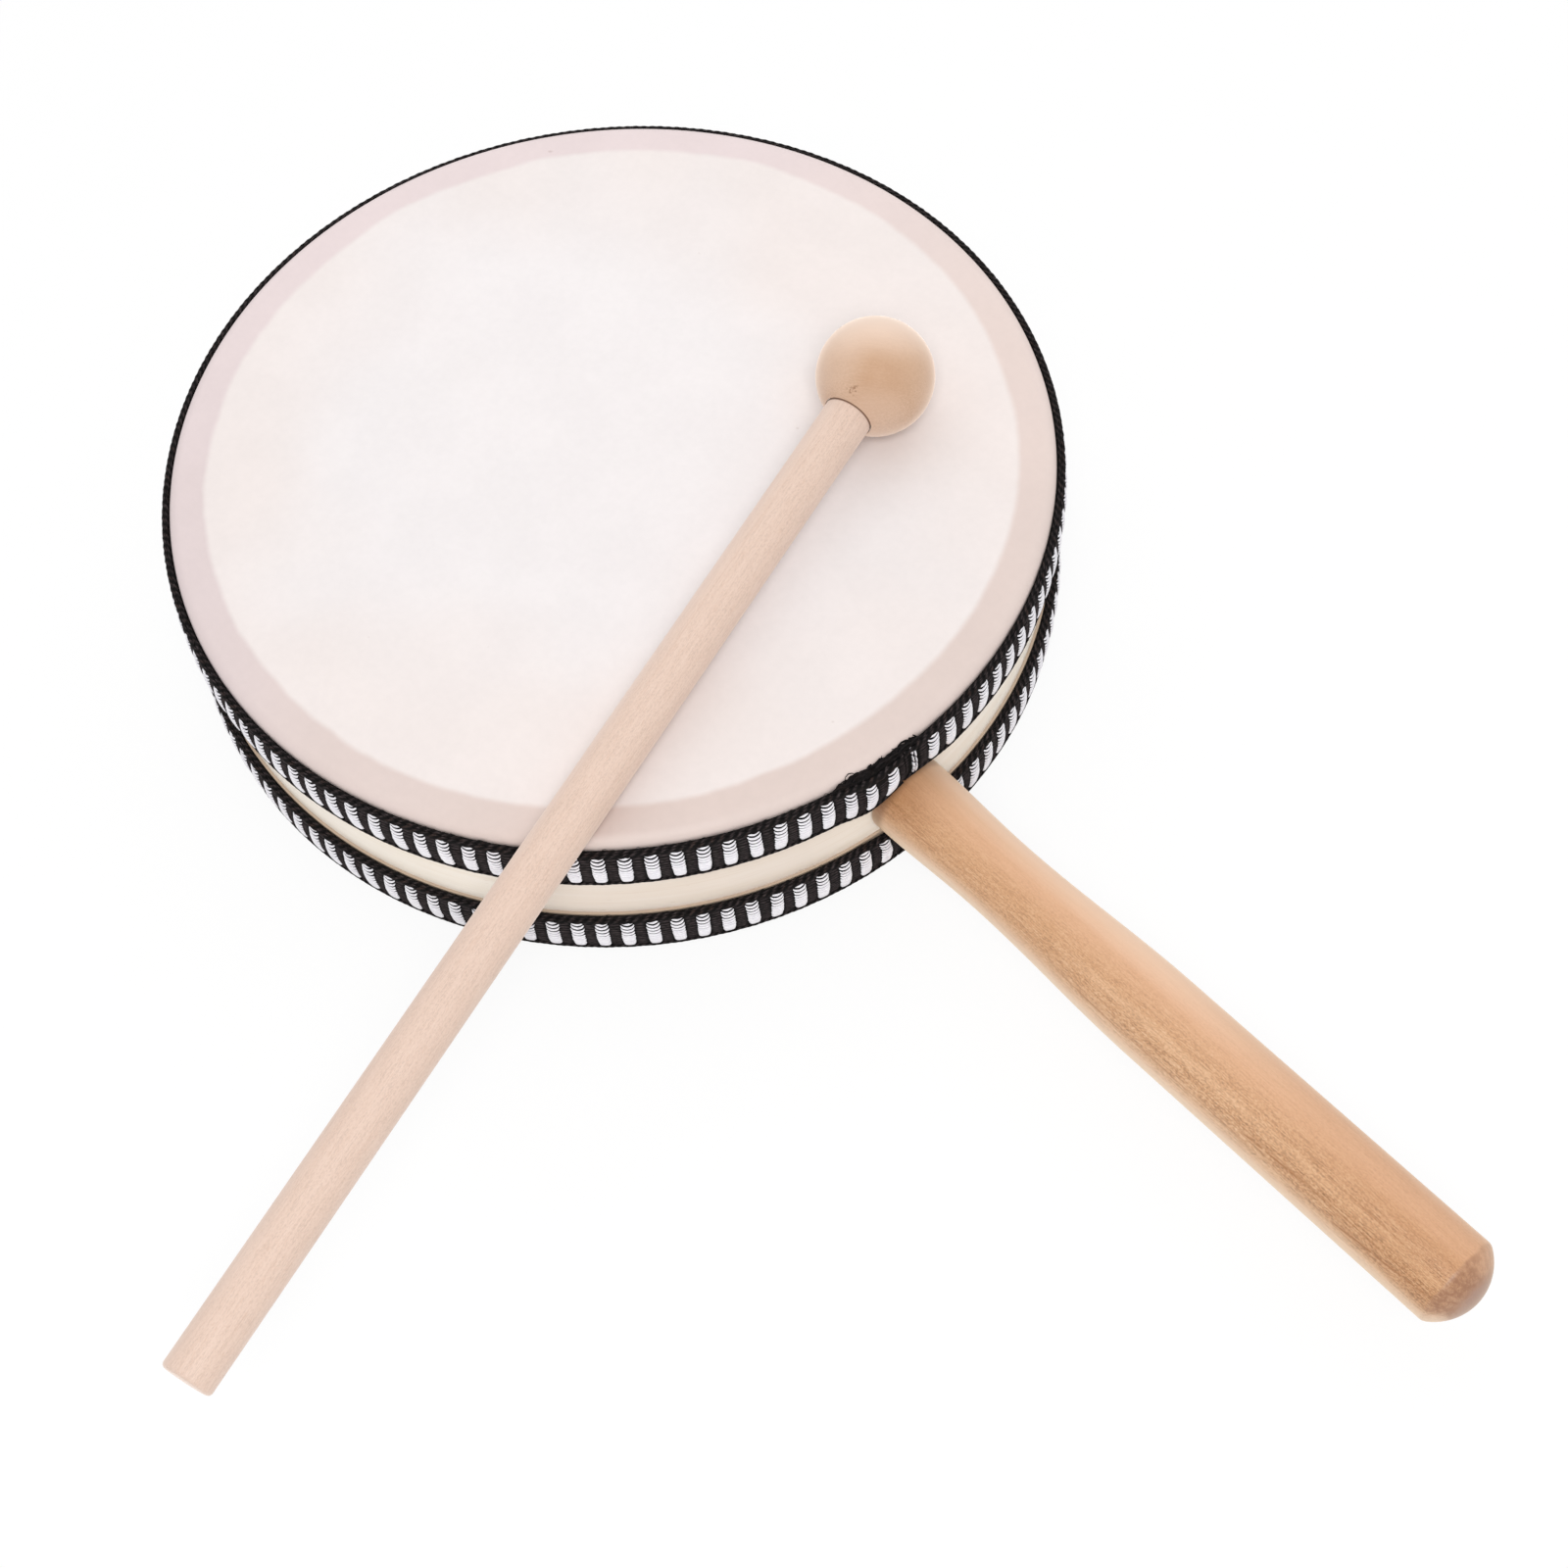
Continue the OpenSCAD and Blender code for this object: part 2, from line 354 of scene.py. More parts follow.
def hoopMaterial():
    look = hoopLook
    made, tree, shader = startMaterial("bentHoopWood", look)
    coords = objectSpace(tree)
    figure = fade(tree, cloud(tree, coords, 2.0, 0.5, look["figureScale"]), 0.3, 0.7)
    lines = cloud(tree, coords, 3.0, 0.6, look["lineScale"])
    lines = fade(tree, lines, 0.5, 0.75, 0.0, look["lineShare"])
    flecks = cloud(tree, coords, 2.0, 0.5, look["fleckScale"])
    flecks = fade(tree, flecks, 0.70, 0.78, 0.0, look["fleckShare"])
    colour = blend(tree, figure, look["pale"], look["warm"])
    colour = blend(tree, lines, colour, look["line"])
    colour = blend(tree, flecks, colour, look["fleck"])
    x, y, _ = splitXyz(tree, coords)
    tanAngle = radians(look["tanAt"])
    toTan = (x * cos(tanAngle) + y * sin(tanAngle)) / (hoopRadius * mm)
    browner = fade(tree, toTan, *look["tanSpan"])
    colour = blend(tree, browner, colour, look["tan"], "MULTIPLY")
    paint(tree, shader, colour)
    relief(tree, shader, lines, *look["relief"])
    return made


dress(hoopMaterial(), "shell_hoop")


# hidden staples, screw and washer
steelLook = dict(
    bright=tone(198, 198, 200), dull=tone(150, 150, 154), roughness=0.35, specular=0.5,
    wornScale=900, wornRoughness=(0.28, 0.45), relief=(0.1, 0.05),
)


def steelMaterial():
    look = steelLook
    made, tree, shader = startMaterial("plainSteel", look)
    worn = fade(tree, cloud(tree, objectSpace(tree), 4.0, 0.6, look["wornScale"]), 0.35, 0.7)
    paint(tree, shader, blend(tree, worn, look["bright"], look["dull"]))
    shader.inputs["Metallic"].default_value = 1.0
    plug(tree, shader.inputs["Roughness"], fade(tree, worn, 0.0, 1.0, *look["wornRoughness"]))
    relief(tree, shader, worn, *look["relief"])
    return made


dress(steelMaterial(), "upper_head_staples", "lower_head_staples", "handle_screw", "handle_washer")
print("hoop and fastenings finished")


# woven trims: a black tape with white yarn that floats over it in blocks
trim = dict(
    width=13, face=102.3, crown=1.1, glue=0.15,  # mm
    backing=0.42, backingFrom=0.05, backingShare=0.92,  # depth under the face, and part of the width
    backingRows=10, backingSteps=464,
    upperTop=44.5, lowerTop=15.0, upperSeam=-2.2, lowerSeam=-3.5, seamGap=0.3,
    blocks=116, firstBlock=0.42, blockShare=0.54, seed=7,
    shoulder=9.9, nearest=8.25, slack=6.0,  # the handle's shoulder pushes aside what it reaches
    shoulderAt=-2.1,  # and stands this far off the +X line
    sag=3.4, sagAt=7.0, sagSpan=(11.0, 1.0),  # the upper tape's end hangs down by the handle
    sagDown=(-0.02, 0.12), sagLoss=0.4,  # shares of the width
)
yarnSize = dict(
    threads=10, rowsFrom=0.115, rowsTo=0.84, spread=0.26,
    topSmile=0.75, lowSmile=0.34, smilePower=1.3,
    topHalf=0.35, lowHalf=0.48, halfSpan=(0.12, 0.68),
    overhang=1.10, narrowing=0.13, narrowPower=6.0,  # times half a block's width
    thick=0.20, peak=0.10, dive=0.72, divePower=6.0,
    endVary=0.07, rowVary=0.06, blockVary=0.16, leanVary=0.05, leanAt=0.6, shadeVary=0.2,
    firstWidth=0.1, firstHalf=0.8, split=0.45, points=11, around=6,
)
groundSize = dict(
    rows=13, rowsFrom=0.06, rowsTo=0.96, half=0.42, thick=0.24,
    up=-0.20, under=-0.42, dip=(0.36, 0.22),  # mm off the face, and where in the pitch it dips
    drift=0.3, driftOut=0.5, driftScale=220, rowShift=5.7, layer=3.0, pointsPerBlock=6, around=5,
)
selvedgeSize = dict(
    rows=2, first=0.066, step=-0.02, half=0.46, thick=0.42, sunk=0.06, sink=-0.65,
    lobe=0.16, bump=2.0, scallop=0.05, drift=0.8, loose=0.22, looseAt=150,
)
hemSize = dict(
    rows=1, first=0.955, step=0.0, half=0.50, thick=0.46, sunk=0.08, sink=0.0,
    lobe=0.07, bump=1.5, scallop=0.16, drift=0.3, loose=0.0, looseAt=0,
)
twistSize = dict(  # shared by both cords
    strands=2, phase=2.1, driftOut=0.6, driftScale=620, rowShift=7.3, layer=0.0,
    looseSpan=(0.2, 0.7), shade=0.6, shadeSwing=0.3, pointsPerBump=4, around=6,
)
fuzzSize = dict(count=460, length=0.9, height=0.42, thick=0.04, inward=0.2, lean=0.6)
tuftSize = dict(count=80, near=6, span=10, length=2.4, height=0.8, thick=0.24, inward=0.75, lean=1.0)
straySize = dict(count=8, near=8, span=10, length=2.6, height=1.5, thick=0.11, inward=0.75, lean=1.6)
fibreVary = dict(  # shared by the three kinds of loose fibre
    length=0.9, lengthVary=0.4, height=0.7, heightVary=0.5, leanVary=0.7,
    rootDown=0.12, rootBack=0.25, shade=0.6, seedShift=11, points=7, around=3,
)
fibreLook = dict(scale=(900, 5200, 5200), relief=(0.25, 0.08))
tapeLook = dict(
    # worn is the lighter fibre tone, which the rows' crests take as painted light; flank is painted shade
    flankShade=tone(10, 8, 8), black=tone(17, 14, 14), worn=tone(74, 65, 66), brown=tone(58, 42, 34),
    rowLight=(0.9, 0.15), flankShadeSpan=(0.80, 0.50),  # painted light on a row's crest and less in its groove, then painted shade by the blocks
    edgeBrownScale=(420, 700, 700), edgeBrownSpan=(0.12, 0.03), edgeBrownShare=0.45,  # along the upper edge
    roughness=0.85, specular=0.15,
)
yarnLook = dict(
    white=tone(248, 247, 250), crease=tone(138, 135, 146), shade=tone(230, 227, 235),
    creaseSpan=(0.25, 0.85), roughness=0.38, specular=0.5,
)


def treeStart(name, sizes):  # an empty tree with one named input for each size
    tree = bpy.data.node_groups.new(name, "GeometryNodeTree")
    tree.interface.new_socket("Geometry", in_out="INPUT", socket_type="NodeSocketGeometry")
    for label, value in sizes.items():
        kind = "NodeSocketMaterial" if isinstance(value, bpy.types.Material) else "NodeSocketFloat"
        tree.interface.new_socket(label, in_out="INPUT", socket_type=kind)
    tree.interface.new_socket("Geometry", in_out="OUTPUT", socket_type="NodeSocketGeometry")
    entry = tree.nodes.new("NodeGroupInput").outputs
    return tree, entry["Geometry"], {label: Field(tree, entry[label]) for label in sizes}


def treeEnd(tree, parts, size):
    joined = addNode(tree, "GeometryNodeJoinGeometry")
    for part in parts:
        plug(tree, joined.inputs[0], part)
    smooth = geoNode(tree, "SetShadeSmooth", {0: joined.outputs[0]})
    real = geoNode(tree, "RealizeInstances", {0: smooth})
    dyed = geoNode(tree, "SetMaterial", {0: real, "Material": size["Material"]})
    plug(tree, tree.nodes.new("NodeGroupOutput").inputs[0], dyed)


def runTree(piece, tree, sizes):  # evaluates the tree and keeps its result as a plain mesh
    modifier = piece.modifiers.new(tree.name, "NODES")
    modifier.node_group = tree
    for item in tree.interface.items_tree:
        if item.in_out == "INPUT" and item.name in sizes:
            modifier[item.identifier] = sizes[item.name]
    bpy.context.view_layer.update()
    graph = bpy.context.evaluated_depsgraph_get()
    woven = piece.evaluated_get(graph)
    made = bpy.data.meshes.new_from_object(woven, preserve_all_data_layers=True, depsgraph=graph)
    piece.modifiers.remove(modifier)
    made.name = piece.name
    piece.data = made


def unitThread(tree, points, around):  # a straight thread from x = -1 to 1, of radius 1
    line = geoNode(tree, "CurvePrimitiveLine", {"Start": (-1, 0, 0), "End": (1, 0, 0)})
    cut = geoNode(tree, "ResampleCurve", {"Curve": line, "Count": points})
    ring = geoNode(tree, "CurvePrimitiveCircle", {"Resolution": around, "Radius": 1.0})
    return geoNode(tree, "CurveToMesh", {"Curve": cut, "Profile Curve": ring, "Fill Caps": True})


def keepField(tree, geometry, name, kind, value):  # stores a field under a name, and reads it back
    inputs = {"Geometry": geometry, "Name": name, "Value": value}
    made = addNode(tree, "GeometryNodeStoreNamedAttribute", inputs, data_type=kind, domain="POINT")
    read = addNode(tree, "GeometryNodeInputNamedAttribute", {"Name": name}, data_type=kind)
    return made.outputs[0], Field(tree, read.outputs[0])


def laidThreads(tree, thread, count):  # copies of a thread, each with its own number
    spots = geoNode(tree, "Points", {"Count": count})
    spots, strand = keepField(tree, spots, "strand", "FLOAT", geoNode(tree, "InputIndex"))
    laid = geoNode(tree, "InstanceOnPoints", {"Points": spots, "Instance": thread})
    real = geoNode(tree, "RealizeInstances", {0: laid})
    return real, strand, splitXyz(tree, geoNode(tree, "InputPosition"))


def chance(tree, which, seed, spread):  # a number from -spread to spread for each thread or block
    inputs = {2: -spread, 3: spread, "ID": which, "Seed": seed}
    return Field(tree, addNode(tree, "FunctionNodeRandomValue", inputs, data_type="FLOAT").outputs[1])


def shoulderReach(r):  # how far from the handle's axis a point ends that starts r away from it, in mm
    squeeze = trim["slack"] / (trim["shoulder"] + trim["slack"] - trim["nearest"])
    return trim["shoulder"] + (r - trim["nearest"]) * squeeze


def onTape(tree, size, along, down, proud):
    # a point on the drum from one in tape space, which is metres along the tape,
    # down from its upper edge and proud of its face
    share = down / size["Width"]
    fromSag = abs(along - size["Length"] + trim["sagAt"] * mm)
    hang = span(tree, fromSag, *trim["sagSpan"]) * fade(tree, share, *trim["sagDown"])
    down = down + hang * (1 - share * trim["sagLoss"]) * size["Sag"]
    middle = share * 2 - 1
    radius = size["Face"] - middle * middle * size["Crown"] + proud
    angle = size["Seam"] + along / (drum["radius"] * mm)
    x, y = radius * angle.to("COSINE"), radius * angle.to("SINE")
    rise = size["Top"] - down - midHeight
    aside = y - trim["shoulderAt"] * mm
    away = (aside * aside + rise * rise) ** 0.5
    push = (shoulderReach(away / mm).to("MAXIMUM", trim["shoulder"]) * mm / away).to("MAXIMUM", 1.0)
    push = (push - 1) * x.to("GREATER_THAN", 0.0) + 1
    return joinXyz(tree, x, aside * push + trim["shoulderAt"] * mm, rise * push + midHeight)


def placeThreads(tree, geometry, size, along, down, proud, shade):
    geometry, flat = keepField(tree, geometry, "weave", "FLOAT_VECTOR", joinXyz(tree, along, down, proud))
    geometry, _ = keepField(tree, geometry, "shade", "FLOAT", shade)
    place = onTape(tree, size, *splitXyz(tree, flat))
    placed = geoNode(tree, "SetPosition", {"Geometry": geometry, "Position": place})
    return geoNode(tree, "FlipFaces", {0: placed})  # tape space is mirrored


def drifting(tree, vary, along, row, detail, roughness):  # a slow wander of each row, from -0.5 to 0.5
    spot = joinXyz(tree, along * vary["driftScale"], row * vary["rowShift"], vary["layer"])
    return cloud(tree, spot, detail, roughness) - 0.5


def yarnTree(sizes):
    tree, _, size = treeStart("wovenYarn", sizes)
    y = yarnSize
    threads, pitch, width, seed = y["threads"], size["Pitch"], size["Width"], size["Seed"]
    thread = unitThread(tree, y["points"], y["around"])
    made, strand, (a, s, c) = laidThreads(tree, thread, size["Blocks"] * threads)
    block = ((strand + 0.5) / threads).to("FLOOR")
    row = strand - block * threads
    rank = row / (threads - 1)  # 0 at the top thread of a block, 1 at the lowest
    loose = (1 - rank) * (1 - rank)
    smile = (loose * (y["topSmile"] - y["lowSmile"]) + y["lowSmile"]) * mm
    whole = 1 - block.to("LESS_THAN", 0.5) * (1 - y["firstWidth"])  # the tape is cut in its first block
    cut = 1 - whole
    half = fade(tree, rank, *y["halfSpan"], y["topHalf"] * mm, y["lowHalf"] * mm)
    half = half + cut * (y["firstHalf"] * mm)
    narrowed = y["overhang"] - rank ** y["narrowPower"] * y["narrowing"]
    reach = pitch * size["Block Share"] * 0.5 * narrowed * whole
    reach = reach + chance(tree, strand, seed, y["endVary"] * mm)
    spaced = rank * (1 + y["spread"] - rank * y["spread"])  # further apart at the top
    rowAt = width * (spaced * (y["rowsTo"] - y["rowsFrom"]) + y["rowsFrom"])
    bowed = smile * whole * (0.5 - abs(a) ** y["smilePower"])
    down = rowAt + chance(tree, strand, seed + 1, y["rowVary"] * mm) + bowed + s * half
    lean = chance(tree, block, seed + 2, y["leanVary"]) * (down - width * y["leanAt"])
    oddOrEven = (((row + 0.5) * 0.5).to("FRACT") - 0.5).to("SIGN")
    split = cut * oddOrEven * (y["split"] * mm)  # what is left of the cut block comes apart
    blockAt = (block + size["First Block"]) * pitch + chance(tree, block, seed + 3, y["blockVary"] * mm)
    along = blockAt + lean + split + a * reach
    proud = y["peak"] * mm - abs(a) ** y["divePower"] * (y["dive"] * mm) + c * (y["thick"] * mm)
    shade = s + chance(tree, strand, seed + 4, y["shadeVary"])
    treeEnd(tree, [placeThreads(tree, made, size, along, down, proud, shade)], size)
    return tree


def cordRows(tree, size, cord):  # twisted cords along one of the tape's edges, each further round it
    twine = twistSize
    points = int(drumRound / cord["bump"] * twine["pointsPerBump"])
    made, row, (a, s, c) = laidThreads(tree, unitThread(tree, points, twine["around"]), cord["rows"])
    along = (a * 0.5 + 0.5) * size["Length"]
    twist = c.to("ARCTAN2", s) * twine["strands"] - along * (2 * pi / (cord["bump"] * mm))
    lobe = (twist + row * twine["phase"]).to("COSINE") * cord["lobe"] + 1
    inPitch = along / size["Pitch"] - size["First Block"]
    wave = (inPitch * (2 * pi)).to("COSINE") * (cord["scallop"] * mm)
    drift = drifting(tree, twine, along, row, 3.0, 0.65) * (cord["drift"] * mm)
    rowAt = size["Width"] * (row * cord["step"] + cord["first"])
    down = rowAt + wave + drift + s * lobe * (cord["half"] * mm)
    back = (along / (drum["radius"] * mm) + size["Seam"] - radians(cord["looseAt"])).to("COSINE")
    loose = fade(tree, back, *twine["looseSpan"], 0.0, cord["loose"])  # more at the back
    standing = (row * cord["sink"] + cord["sunk"] + loose) * mm
    proud = c * lobe * (cord["thick"] * mm) + standing + drift * twine["driftOut"]
    # low in the twist's grooves, where the tape's flank colour paints shade
    shade = (lobe - 1) / cord["lobe"] * twine["shadeSwing"] + twine["shade"]
    return placeThreads(tree, made, size, along, down, proud, shade)


def groundRows(tree, size):  # black threads that show between the white blocks and dip under them
    g = groundSize
    thread = unitThread(tree, trim["blocks"] * g["pointsPerBlock"] + 1, g["around"])
    made, row, (a, s, c) = laidThreads(tree, thread, g["rows"])
    along = (a * 0.5 + 0.5) * size["Length"]
    inPitch = along / size["Pitch"] - size["First Block"]
    away = abs((inPitch + 0.5).to("FRACT") - 0.5)  # 0 in a block's middle
    drift = drifting(tree, g, along, row, 2.0, 0.5) * (g["drift"] * mm)
    rowStep = (g["rowsTo"] - g["rowsFrom"]) / g["rows"]
    down = size["Width"] * ((row + 0.5) * rowStep + g["rowsFrom"]) + drift + s * (g["half"] * mm)
    dip = fade(tree, away, *g["dip"], g["up"] * mm, g["under"] * mm)
    proud = dip + c * (g["thick"] * mm) + drift * g["driftOut"]
    # away * 2 is low beside each block, where the tape's flank colour paints shade
    return placeThreads(tree, made, size, along, down, proud, away * 2)


def fuzzRows(tree, size, fuzz, count, middle, reach):  # loose fibres that stand off the upper edge
    vary = fibreVary
    thread = unitThread(tree, vary["points"], vary["around"])
    made, strand, (a, s, c) = laidThreads(tree, thread, count)
    seed = size["Seed"] + vary["seedShift"]
    start = chance(tree, strand, seed, 1.0) * reach + middle
    bend = 1 - a * a
    height = chance(tree, strand, seed + 1, vary["heightVary"]) + vary["height"]
    length = chance(tree, strand, seed + 2, vary["lengthVary"]) + vary["length"]
    lean = chance(tree, strand, seed + 3, vary["leanVary"]) - fuzz["inward"]
    along = start + a * length * (fuzz["length"] * mm)
    down = s * (fuzz["thick"] * mm) - height * (fuzz["height"] * mm) * bend + vary["rootDown"] * mm
    proud = c * (fuzz["thick"] * mm) + lean * bend * (fuzz["lean"] * mm) - vary["rootBack"] * mm
    return placeThreads(tree, made, size, along, down, proud, vary["shade"])


def tapeTree(sizes):
    tree, backing, size = treeStart("wovenTape", sizes)
    parts = [backing, cordRows(tree, size, selvedgeSize), cordRows(tree, size, hemSize)]
    parts.append(groundRows(tree, size))
    halfway = size["Length"] * 0.5
    parts.append(fuzzRows(tree, size, fuzzSize, fuzzSize["count"], halfway, halfway))
    for fuzz in (tuftSize, straySize):  # only at the upper tape's torn end
        middle = size["Length"] - fuzz["near"] * mm
        parts.append(fuzzRows(tree, size, fuzz, size["Torn End"] * fuzz["count"], middle, fuzz["span"] * mm))
    treeEnd(tree, parts, size)
    return tree


def threadMaterial(name, look):
    made, tree, shader = startMaterial(name, look)
    weave = addNode(tree, "ShaderNodeAttribute", attribute_name="weave").outputs["Vector"]
    shade = Field(tree, addNode(tree, "ShaderNodeAttribute", attribute_name="shade").outputs["Fac"])
    fibres = cloud(tree, weave, 3.0, 0.6, fibreLook["scale"])
    relief(tree, shader, fibres, *fibreLook["relief"])
    return made, tree, shader, weave, shade, fade(tree, fibres, 0.34, 0.68)


def tapeMaterial():  # black between the blocks, with painted shade beside them and in the cords' grooves, and painted light on each row's crest
    look, g = tapeLook, groundSize
    made, tree, shader, weave, shade, fibres = threadMaterial("blackTape", look)
    down = splitXyz(tree, weave)[1] / (trim["width"] * mm)
    rows = (down - g["rowsFrom"]) * (2 * pi * g["rows"] / (g["rowsTo"] - g["rowsFrom"]))
    # painted light on each row's crest, painted shade in its groove
    lit = fade(tree, rows.to("COSINE"), -0.6, 0.9, *look["rowLight"])
    colour = blend(tree, fibres * lit, look["black"], look["worn"])
    # a brown tint in patches, strongest along the upper edge
    edgeBrown = fade(tree, cloud(tree, weave, 2.0, 0.6, look["edgeBrownScale"]), 0.48, 0.7)
    edgeBrown = edgeBrown * fade(tree, down, *look["edgeBrownSpan"])
    colour = blend(tree, edgeBrown * look["edgeBrownShare"], colour, look["brown"])
    # painted shade beside the white blocks and in the grooves of the twisted cords
    colour = blend(tree, fade(tree, shade, *look["flankShadeSpan"]), colour, look["flankShade"])
    paint(tree, shader, colour)
    return made


def yarnMaterial():  # painted shade: each thread darkens towards its lower side, into the crease
    look = yarnLook
    made, tree, shader, _, shade, fibres = threadMaterial("whiteYarn", look)
    colour = blend(tree, fibres, look["white"], look["shade"])
    # painted shade in the creases between threads
    colour = blend(tree, fade(tree, shade, *look["creaseSpan"]), colour, look["crease"])
    paint(tree, shader, colour)
    return made


def trimPieces(side, nodes, top, seam, sag, torn):
    sizes = {
        "Width": trim["width"] * mm, "Face": trim["face"] * mm, "Crown": trim["crown"] * mm, "Top": top * mm,
        "Seam": radians(seam), "Length": (drumRound - trim["seamGap"]) * mm, "Sag": sag * mm,
        "Pitch": drumRound * mm / trim["blocks"], "Blocks": float(trim["blocks"]),
        "First Block": trim["firstBlock"], "Block Share": trim["blockShare"],
        "Torn End": float(torn), "Seed": float(trim["seed"]), "Material": blackFinish,
    }

    def beside(point):  # as onTape does
        axis = Vector((point.x, trim["shoulderAt"] * mm, midHeight))
        away = (point - axis).length / mm
        if point.x > 0 and shoulderReach(away) > away:
            point = axis + (point - axis) * (shoulderReach(away) / away)
        return point

    inner = drum["radius"] + trim["glue"]
    rows = trim["backingRows"]
    stops = [trim["backingFrom"] + trim["backingShare"] * i / rows for i in range(rows + 1)]
    profile = []
    for t in stops:
        face = trim["face"] - trim["crown"] * (2 * t - 1) ** 2 - trim["backing"]
        profile.append((face, top - trim["width"] * t))
    profile += [(inner, top - trim["width"] * stops[-1]), (inner, top - trim["width"] * stops[0])]
    tape = turn(side + "TrimTape", profile, trim["backingSteps"], blackFinish, closed=True, shape=beside)
    runTree(tape, tapeTree(sizes), sizes)
    settle(tape, "drum", "black_tape", nodes[0])
    sizes["Material"] = whiteFinish
    yarn = meshObject(side + "TrimYarn", [], [], whiteFinish)
    runTree(yarn, yarnTree(sizes), sizes)
    settle(yarn, "drum", "white_yarn", nodes[1])
    print(side, "trim woven,", len(tape.data.polygons), "and", len(yarn.data.polygons), "faces")


blackFinish = tapeMaterial()
whiteFinish = yarnMaterial()
upperNodes = ("upper_trim_tape", "upper_trim_yarn")
lowerNodes = ("lower_trim_tape", "lower_trim_yarn")
trimPieces("upper", upperNodes, trim["upperTop"], trim["upperSeam"], trim["sag"], True)
trimPieces("lower", lowerNodes, trim["lowerTop"], trim["lowerSeam"], 0.0, False)


# turned wood, shared by the handle, the stick and the ball
grainLook = dict(
    fine=(1300, 1300, 40), speck=(5200, 5200, 1700), streak=(3600, 3600, 170),  # cycles per metre
    pore=(3000, 3000, 420), line=(900, 900, 6), figureStretch=0.07,
    speckShare=0.6, streakShare=0.45, leastRough=0.2, rimCalm=0.8,
    footRough=0.52, slimmest=0.8, porePlain=0.25, poreBand=0.75, sheenRoughness=0.45,
)


def turnedWood(name, look, place):
    shared = grainLook
    made, tree, shader = startMaterial(name, look)
    shader.inputs["Sheen Weight"].default_value = look["sheen"]
    shader.inputs["Sheen Roughness"].default_value = shared["sheenRoughness"]
    shader.inputs["Sheen Tint"].default_value = look["bloom"]
    local = objectSpace(tree, place)

    def grain(kind, detail, roughness):
        return cloud(tree, local, detail, roughness, shared[kind])

    wide = look["figureScale"]
    figure = cloud(tree, local, 3.0, 0.55, (wide, wide, wide * shared["figureStretch"]))
    x, y, z = splitXyz(tree, local)
    near = x * look["darkSide"][0] + y * look["darkSide"][1]
    if "evenTo" in look:  # bands keep their share where the wood is slimmer
        fromAxis = ((x * x + y * y) ** 0.5).to("MAXIMUM", shared["slimmest"] * look["evenTo"] * mm)
        near = near / fromAxis * (look["evenTo"] * mm)
    near = near + (figure - 0.5) * (look["wander"] * mm)
    # painted light: the rim is a paler edge that stands in for the floor's bounce; the band inside it is
    # painted shade on the side turned from the key light, where the grain is also denser
    litRim = span(tree, near, *look["litRimSpan"])
    band = span(tree, near, *look["bandSpan"]) * (1 - litRim)
    fine = fade(tree, grain("fine", 3.0, 0.6), 0.35, 0.7)
    specks = fade(tree, grain("speck", 1.0, 0.6), 0.36, 0.64, -1.0, 1.0)
    streaks = fade(tree, grain("streak", 2.0, 0.6), 0.36, 0.64, -1.0, 1.0)
    grains = specks * shared["speckShare"] + streaks * shared["streakShare"]
    pores = fade(tree, grain("pore", 1.0, 0.5), 0.62, 0.74)
    lines = fade(tree, grain("line", 2.0, 0.5), 0.66, 0.74)
    colour = blend(tree, fade(tree, figure, 0.34, 0.68), look["pale"], look["mid"])
    # painted shade on the band, painted light on the rim
    colour = blend(tree, band, colour, look["dark"])
    colour = blend(tree, litRim, colour, look["litRim"])
    colour = blend(tree, fine * look["fineShare"], colour, look["line"])
    rough = span(tree, near, *look["roughSpan"], shared["leastRough"]) * (1 - litRim * shared["rimCalm"])
    if "growSpan" in look:  # the grain opens towards the free end
        rough = rough * span(tree, z, *look["growSpan"], shared["footRough"])
    colour = dim(tree, colour, 1 + grains.to("MINIMUM", 0.0) * rough * look["grainShare"])
    glints = grains.to("MAXIMUM", 0.0) * rough * look["glintShare"]
    colour = blend(tree, glints, colour, look["bloom"])
    pored = pores * look["poreShare"] * (band * shared["poreBand"] + shared["porePlain"])
    colour = blend(tree, pored, colour, look["pore"])
    colour = blend(tree, lines * band * look["lineShare"], colour, look["pore"])
    relief(tree, shader, 1.0 - pored, *look["relief"])
    return made, tree, shader, local, near, pored, colour


# handle
handleSize = dict(
    length=158.5, shoulder=18.9, neck=17.2, grip=20.1, neckAt=30, gripAt=75, shift=-2.15, skew=1.5,
    dome=5.5, domeEdge=2.4, shoulderRound=0.8, spigot=10, spigotFrom=92.0, seatRing=7,
    saddle=4, saddleFrom=-0.1, saddleClear=0.5,
    neckRows=16, flareRows=18, gripRows=8, bendRows=5, domeRows=12, steps=144,
)
handleLook = dict(
    # painted light: rim and farRimLight, paler edges; painted shade: dark, the band on darkSide, whose grain
    # is also denser
    pale=tone(216, 169, 134), mid=tone(210, 163, 125), dark=tone(203, 155, 115), line=tone(197, 148, 107),
    pore=tone(166, 116, 76), litRim=tone(232, 204, 177), farRimLight=tone(238, 204, 177), bloom=tone(250, 228, 196),
    endGrain=tone(152, 108, 80), joint=tone(118, 80, 56), tip=tone(150, 118, 106),
    stain=(0.75, 0.62, 0.47, 1), paleStreak=tone(238, 198, 162),
    roughness=0.42, specular=0.42, sheen=0.3, poredRoughness=(0.40, 0.52),
    figureScale=95, fineShare=0.2, grainShare=0.5, glintShare=0.4, poreShare=0.3, lineShare=0.5,
    darkSide=(0.36, -0.93), wander=5.0, bandSpan=(-5.5, 2.0), litRimSpan=(6.0, 10.0),
    evenTo=10.05, roughSpan=(-6.0, 6.0), growSpan=(5, 115), relief=(0.12, 0.15),
)
